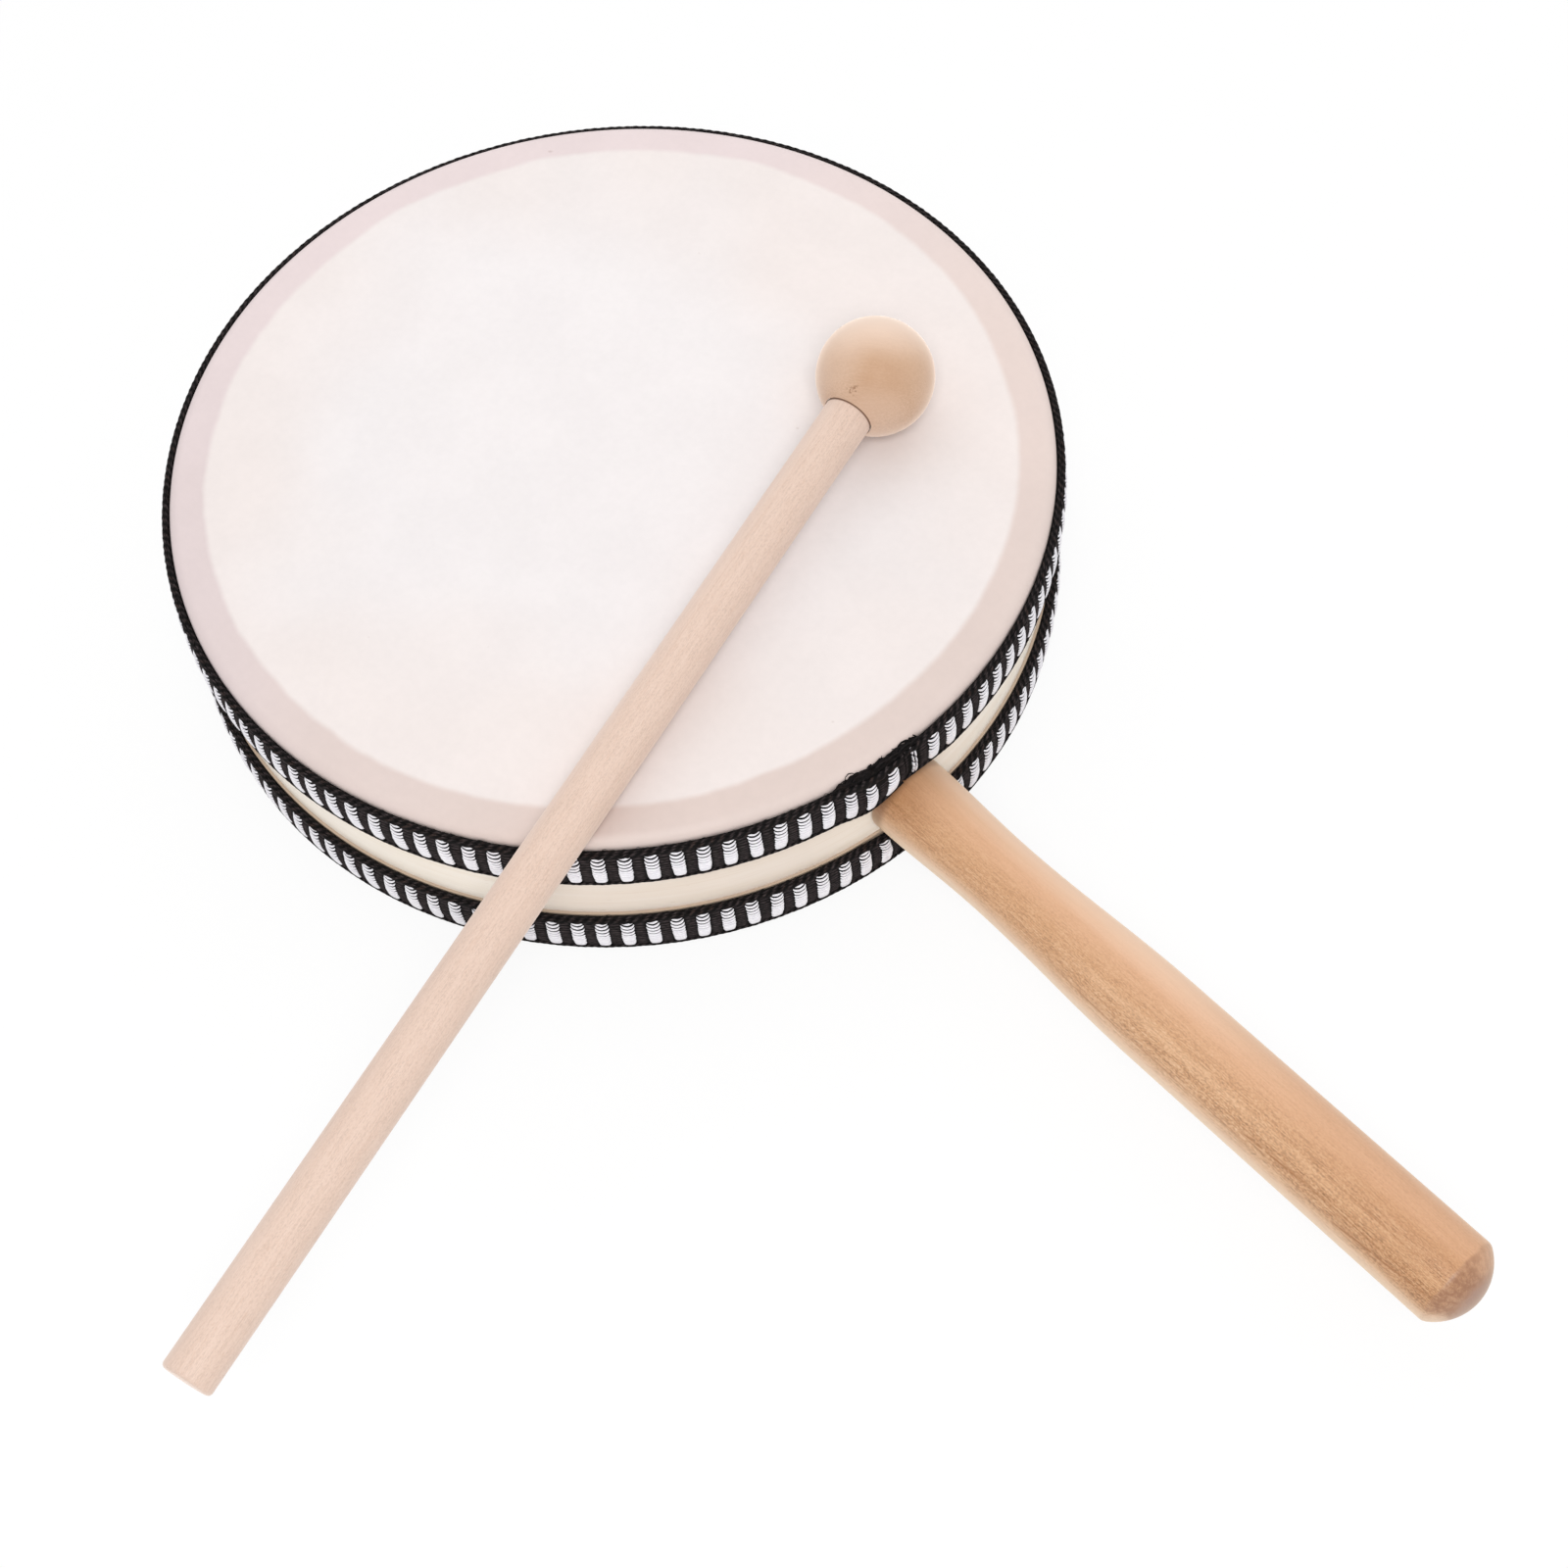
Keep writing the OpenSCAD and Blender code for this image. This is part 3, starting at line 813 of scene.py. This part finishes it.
handleMarks = dict(  # limits in mm, some with the shares they fade between
    cracks=((104, 6.1, 120, 5.4, 0.9), (128, 7.4, 153, 5.5, 0.8),  # from, side, to, side, share
            (126, 1.4, 146, 1.4, 0.5)),
    crackHalf=(0.25, 0.05), crackBend=1.2, crackBendScale=(60, 60, 60), crackGapScale=420,
    paleAt=2.7, paleHalf=(1.8, 0.3), paleAlong=(45, 65), paleShare=0.22,
    farSide=(-4.0, -8.8), farAlong=(120, 60), farShare=0.75,
    ragged=4.0, raggedScale=(160, 160, 60), endRagged=0.35, tipRagged=0.7, jointRagged=0.3,
    endFrom=(6.3, 5.5), tipFrom=(3.4, 0.8), grainFrom=(0.8, 2.2),  # before the free end
    grainNear=(8.5, 6.0, 0.3, 1.0), grainFar=(-9.0, -1.0, 0.55, 1.0), grainScale=(800, 800, 500),
    grainLeast=0.55, tipShare=0.85,
    # the shoulder's stain is partly a real stain, partly painted shade that the trim casts
    stainShadeAlong=(18, 1), stainShadeFar=(-6.0, 1.0, 0.4, 1.0), stainShadeNear=(8.5, 3.5, 0.25, 1.0), stainShadeShare=0.85,
    # the joint is partly dark glue and end grain, partly painted contact shadow under the tape
    jointShadeAlong=(3.6, 1.2), jointShadeShare=0.7,
    heldAlong=(85, 150, 0.0, 0.55), heldFar=(-9.0, 1.0, 0.4, 1.0), heldNear=(9.5, 6.5, 0.35, 1.0),
)
handlePlace = (Matrix.Translation((hoopRadius * mm, handleSize["shift"] * mm, midHeight))
               @ Matrix.Rotation(radians(handleSize["skew"]), 4, "Z")
               @ Matrix.Rotation(radians(90), 4, "Y"))


def handleMaterial():
    look, mark = handleLook, handleMarks
    made, tree, shader, local, near, pored, colour = turnedWood("handleWood", look, handlePlace)
    across, aside, along = splitXyz(tree, local)

    def beforeEnd(value, low, high):  # a span back from the free end
        return span(tree, value, handleSize["length"] - low, handleSize["length"] - high)

    bent = (cloud(tree, local, 2.0, 0.5, mark["crackBendScale"]) - 0.5) * (mark["crackBend"] * mm)
    plain = across * look["darkSide"][0] + aside * look["darkSide"][1] + bent
    for start, startSide, stop, stopSide, share in mark["cracks"]:  # thin dark lines
        slope = (stopSide - startSide) / (stop - start)
        off = abs(plain - (along - start * mm) * slope - startSide * mm)
        seen = span(tree, along, start - 1, start + 2) * span(tree, along, stop + 1, stop - 3)
        gaps = fade(tree, cloud(tree, along * mark["crackGapScale"], 2.0, 0.6), 0.36, 0.5)
        seen = seen * gaps * across.to("LESS_THAN", 0.0)
        colour = blend(tree, span(tree, off, *mark["crackHalf"]) * seen * share, colour, look["pore"])
    paler = span(tree, abs(plain - mark["paleAt"] * mm), *mark["paleHalf"])
    paler = paler * span(tree, along, *mark["paleAlong"]) * mark["paleShare"]
    colour = blend(tree, paler, colour, look["paleStreak"])
    # painted light: a paler rim on the upper side, which faces the key light
    far = span(tree, near, *mark["farSide"]) * span(tree, along, *mark["farAlong"])
    colour = blend(tree, far * mark["farShare"], colour, look["farRimLight"])
    ragged = cloud(tree, local, 3.0, 0.6, mark["raggedScale"]) - 0.5
    ragged = ragged * (mark["ragged"] * mm)
    end = beforeEnd(along + ragged * mark["endRagged"], *mark["endFrom"])
    tip = beforeEnd(along + ragged * mark["tipRagged"], *mark["tipFrom"])
    grain = beforeEnd(along + ragged * mark["tipRagged"], *mark["grainFrom"])  # darkest by the edge
    grain = grain * span(tree, near, *mark["grainNear"]) * span(tree, near, *mark["grainFar"])
    streaky = cloud(tree, local, 2.0, 0.6, mark["grainScale"])
    streaky = fade(tree, streaky, 0.32, 0.62, mark["grainLeast"], 1.0)
    colour = blend(tree, tip * mark["tipShare"], colour, look["tip"])
    colour = blend(tree, end * grain * streaky, colour, look["endGrain"])
    # partly a real stain, partly painted shade from the trim on the shoulder
    stainAndShade = span(tree, near, *mark["stainShadeFar"]) * span(tree, near, *mark["stainShadeNear"])
    stainAndShade = span(tree, along, *mark["stainShadeAlong"]) * stainAndShade * mark["stainShadeShare"]
    colour = blend(tree, stainAndShade, colour, look["stain"], "MULTIPLY")
    # partly dark glue and end grain, partly painted contact shadow under the tape
    joint = span(tree, along + ragged * mark["jointRagged"], *mark["jointShadeAlong"])
    colour = blend(tree, joint * mark["jointShadeShare"], colour, look["joint"])
    held = span(tree, along, *mark["heldAlong"]) * span(tree, near, *mark["heldFar"])
    held = held * span(tree, near, *mark["heldNear"]) * (1 - end)
    colour = blend(tree, held, colour, look["stain"], "MULTIPLY")
    paint(tree, shader, colour)
    plug(tree, shader.inputs["Roughness"], fade(tree, pored, 0.0, 0.4, *look["poredRoughness"]))
    return made


def ease(t):
    return (1 - cos(pi * t)) / 2


def handlePiece():
    s = handleSize
    shoulder, neck, grip, spigot = s["shoulder"] / 2, s["neck"] / 2, s["grip"] / 2, s["spigot"] / 2
    edge, rounding, foot = s["domeEdge"], s["shoulderRound"], s["spigotFrom"] - hoopRadius
    cap = (grip ** 2 + s["dome"] ** 2) / (2 * s["dome"])
    capAt = s["length"] - cap
    edgeAngle = degrees(asin((grip - edge) / (cap - edge)))
    edgeAt = capAt + (cap - edge) * cos(radians(edgeAngle))
    profile = [(0, foot), (spigot, foot), (spigot, 0), (s["seatRing"], 0), (shoulder - rounding, 0)]
    profile += bow(shoulder - rounding, rounding, rounding, -90, 0, s["bendRows"])[1:]

    def sweep(start, startAt, stop, stopAt, rows):  # from one radius to the next without a corner
        for i in range(1, rows + 1):
            radius = start + (stop - start) * ease(i / rows)
            profile.append((radius, startAt + (stopAt - startAt) * i / rows))

    sweep(shoulder, rounding, neck, s["neckAt"], s["neckRows"])
    sweep(neck, s["neckAt"], grip, s["gripAt"], s["flareRows"])
    for i in range(1, s["gripRows"]):
        profile.append((grip, s["gripAt"] + (edgeAt - s["gripAt"]) * i / s["gripRows"]))
    profile += bow(grip - edge, edgeAt, edge, 0, 90 - edgeAngle, s["bendRows"])
    profile += bow(0, capAt, cap, 90 - edgeAngle, 90, s["domeRows"])[1:-1] + [(0, s["length"])]

    def saddle(point):  # the shoulder follows the round hoop
        local = handlePlace.inverted() @ point
        reach = local.z / mm
        if s["saddleFrom"] < reach < s["saddle"] and local.xy.length / mm > spigot + s["saddleClear"]:
            wall = sqrt(hoopRadius ** 2 - (point.y / mm) ** 2) * mm
            point.x += (wall - point.x + local.z) * (1 - max(0.0, reach) / s["saddle"])
        return point

    return turn("turnedHandle", profile, s["steps"], handleMaterial(), handlePlace, shape=saddle)


settle(handlePiece(), "drum", "handle_wood", "handle")
print("handle turned")


# mallet
malletSize = dict(
    length=270, ball=26.5, stick=11, depth=18, ballAt=60.5, bearing=57, heading=-72.5,  # mm and degrees
    restGap=0.3, glueGap=0.05, endRound=1, chamfer=0.45, joint=0.25,
    stickRows=40, endRows=5, ballRows=48, steps=96,
)
ballRadius, stickRadius = malletSize["ball"] / 2, malletSize["stick"] / 2
bearing, turned = radians(malletSize["bearing"]), radians(malletSize["heading"])
ballCentre = Vector((malletSize["ballAt"] * cos(bearing), malletSize["ballAt"] * sin(bearing),
                     drum["height"] + malletSize["restGap"] + ballRadius))
heading = Vector((cos(turned), sin(turned)))
ahead = ballCentre.xy.dot(heading)
rimRadius = drum["radius"] - drum["bearing"] - drum["skin"]
rimReach = -ahead + sqrt(ahead ** 2 - ballCentre.xy.length_squared + rimRadius ** 2)
droop = atan((ballRadius - stickRadius) / rimReach)
malletPlace = (Matrix.Translation(ballCentre * mm) @ Matrix.Rotation(turned, 4, "Z")
               @ Matrix.Rotation(radians(90) + droop, 4, "Y"))

stickLook = dict(
    pale=tone(229, 206, 192), mid=tone(224, 198, 184), dark=tone(221, 195, 179), line=tone(214, 185, 167),
    pore=tone(200, 163, 138), litRim=tone(235, 211, 196), bloom=tone(252, 240, 230),
    glue=tone(112, 72, 44), glueFrom=0.25, glueTo=0.02, glueShare=0.8,  # mm out of the ball
    roughness=0.5, specular=0.35, sheen=0.3, relief=(0.1, 0.1),
    figureScale=150, fineShare=0.3, grainShare=0.13, glintShare=0.10, poreShare=0.25, lineShare=0.2,
    darkSide=(-0.7, 0.7), wander=8.0, bandSpan=(-4.0, 5.0), roughSpan=(-4.0, 5.0), litRimSpan=(20, 30),
)
ballLook = dict(
    pale=tone(205, 166, 134), mid=tone(197, 157, 124), dark=tone(189, 148, 114), line=tone(184, 142, 108),
    pore=tone(164, 120, 88), litRim=tone(228, 194, 168), bloom=tone(252, 238, 226),
    chip=tone(140, 98, 66), chipAt=(36.8, 40.7, 67.8), chipSpan=(1.9, 0.8), chipScale=1300, chipShare=0.75,
    flush=tone(184, 141, 106), flushSpan=(9, 1),
    flushAt=((41.4, 47.0, 69.5, 0.35), (41.5, 43.0, 66.8, 0.6)),  # a point, and its share
    # painted highlights: the sides facing the lamps and the bright head below are painted paler
    paintedHighlight=tone(240, 216, 199),
    highlightSides=(((-0.45, 0.5, 0.74), 0.28, 0.72), ((0.68, -0.73, 0.11), 0.7, 0.3),  # direction, start, share
               ((-0.30, -0.70, 0.65), 0.7, 0.3), ((0.80, 0.28, 0.49), 0.6, 0.12)),
    roughness=0.5, specular=0.45, sheen=1.0, relief=(0.1, 0.1),
    figureScale=70, fineShare=0.3, grainShare=0.2, glintShare=0.16, poreShare=0.4, lineShare=0.2,
    grainTurn=70, darkSide=(0.7, 0.7), wander=14.0,
    bandSpan=(-6.0, 8.0), roughSpan=(-6.0, 8.0), litRimSpan=(40, 50),
)


def stickMaterial():
    look = stickLook
    made, tree, shader, local, *_, colour = turnedWood("stickWood", look, malletPlace)
    mouth = sqrt(ballRadius ** 2 - stickRadius ** 2)
    out = splitXyz(tree, local)[2]
    glue = span(tree, out, mouth + look["glueFrom"], mouth + look["glueTo"])
    paint(tree, shader, blend(tree, glue * look["glueShare"], colour, look["glue"]))
    return made


def ballMaterial():
    look = ballLook
    place = malletPlace @ Matrix.Rotation(radians(look["grainTurn"]), 4, "X")  # grain across the stick
    made, tree, shader, *_, colour = turnedWood("ballWood", look, place)
    coords = objectSpace(tree)
    for *spot, share in look["flushAt"]:
        flush = span(tree, apart(tree, coords, spot), *look["flushSpan"])
        colour = blend(tree, flush * share, colour, look["flush"])
    outward = calcVector(tree, "SUBTRACT", coords, ballCentre * mm)[0]
    # painted highlight on each side that faces a lamp or the head's bounce
    for side, start, share in look["highlightSides"]:
        toSide = Field(tree, calcVector(tree, "DOT_PRODUCT", outward, side)["Value"])
        cap = span(tree, toSide, ballRadius * start, ballRadius)
        colour = blend(tree, cap * share, colour, look["paintedHighlight"])
    chip = fade(tree, cloud(tree, coords, 2.0, 0.6, look["chipScale"]), 0.5, 0.62)
    chip = chip * span(tree, apart(tree, coords, look["chipAt"]), *look["chipSpan"])
    paint(tree, shader, blend(tree, chip * look["chipShare"], colour, look["chip"]))
    return made


def stickPiece():
    s, r = malletSize, stickRadius
    seat, tip = ballRadius - s["depth"], s["length"] - ballRadius
    profile = [(0, seat)] + [(r, seat + (tip - seat) * i / s["stickRows"]) for i in range(s["stickRows"])]
    profile += bow(r - s["endRound"], tip - s["endRound"], s["endRound"], 0, 90, s["endRows"])
    return turn("malletStick", profile + [(0, tip)], s["steps"], stickMaterial(), malletPlace)


def ballPiece():
    s = malletSize
    bore = stickRadius + s["glueGap"]
    seat = ballRadius - s["depth"] - s["glueGap"]
    mouth = degrees(asin((bore + s["joint"]) / ballRadius))
    top = ballRadius * cos(radians(mouth))
    profile = [(0, seat), (bore, seat), (bore, top - s["chamfer"])]
    profile += bow(0, 0, ballRadius, 90 - mouth, -90, s["ballRows"])[:-1] + [(0, -ballRadius)]
    return turn("malletBall", profile, s["steps"], ballMaterial(), malletPlace)


settle(stickPiece(), "mallet", "stick_wood", "mallet_stick")
settle(ballPiece(), "mallet", "ball_wood", "mallet_ball")
print("mallet turned")


# floor and light
studio = dict(
    floor=tone(250, 250, 250), floorSize=6.0, floorHeight=-0.0002, shadowShare=0.12, ambient=0.60,
    paperScale=40, paperDim=0.985, roughness=0.9, specular=0.1, aim=(0.05, 0, 0.03),
)
white = (1, 1, 1, 1)


def seenDirectly(tree):  # 1 for the camera, and for what shows in gloss or glass
    path = addNode(tree, "ShaderNodeLightPath").outputs
    both = calc(tree, "MAXIMUM", path["Is Glossy Ray"], path["Is Transmission Ray"])
    return calc(tree, "MAXIMUM", path["Is Camera Ray"], both)


def floorMaterial():
    made, tree, shader = startMaterial("studioFloor", studio)
    paper = cloud(tree, objectSpace(tree), 2.0, 0.5, studio["paperScale"])
    colour = dim(tree, studio["floor"], fade(tree, paper, 0.3, 0.7, studio["paperDim"], 1.0))
    paint(tree, shader, colour)
    glow = addNode(tree, "ShaderNodeEmission", {"Color": white, "Strength": 1.0})
    share = seenDirectly(tree) * (1 - studio["shadowShare"])
    mixed = addNode(tree, "ShaderNodeMixShader", {0: share, 1: shader.outputs[0], 2: glow.outputs[0]})
    plug(tree, tree.nodes["Material Output"].inputs["Surface"], mixed.outputs[0])
    return made


half = studio["floorSize"] / 2
corners = [(x * half, y * half, studio["floorHeight"]) for x, y in ((-1, -1), (1, -1), (1, 1), (-1, 1))]
floor = meshObject("floor", corners, [(0, 1, 2, 3)], floorMaterial())

world = bpy.data.worlds.new("studio")
scene.world = world
world.use_nodes = True
air = world.node_tree
backdrop = addNode(air, "ShaderNodeBackground", {0: white, 1: 1.0})
ambient = addNode(air, "ShaderNodeBackground", {0: white, 1: studio["ambient"]})
shown = {0: seenDirectly(air), 1: ambient.outputs[0], 2: backdrop.outputs[0]}
sky = addNode(air, "ShaderNodeMixShader", shown)
plug(air, air.nodes["World Output"].inputs["Surface"], sky.outputs[0])

softboxes = dict(
    back=dict(place=(-0.85, 0.80, 0.95), size=2.2, power=9.0, tint=(1.0, 0.99, 0.98)),
    front=dict(place=(0.67, -0.46, 1.20), size=0.5, power=9.3, tint=(1.0, 1.0, 1.0)),
)
for name, box in softboxes.items():
    lamp = bpy.data.lights.new(name, "AREA")
    lamp.size = box["size"]
    lamp.energy = box["power"]
    lamp.color = box["tint"]
    holder = bpy.data.objects.new(name, lamp)
    holder.location = box["place"]
    towards = Vector(studio["aim"]) - Vector(box["place"])
    holder.rotation_euler = towards.to_track_quat("-Z", "Y").to_euler()
    scene.collection.objects.link(holder)
print("studio lit")
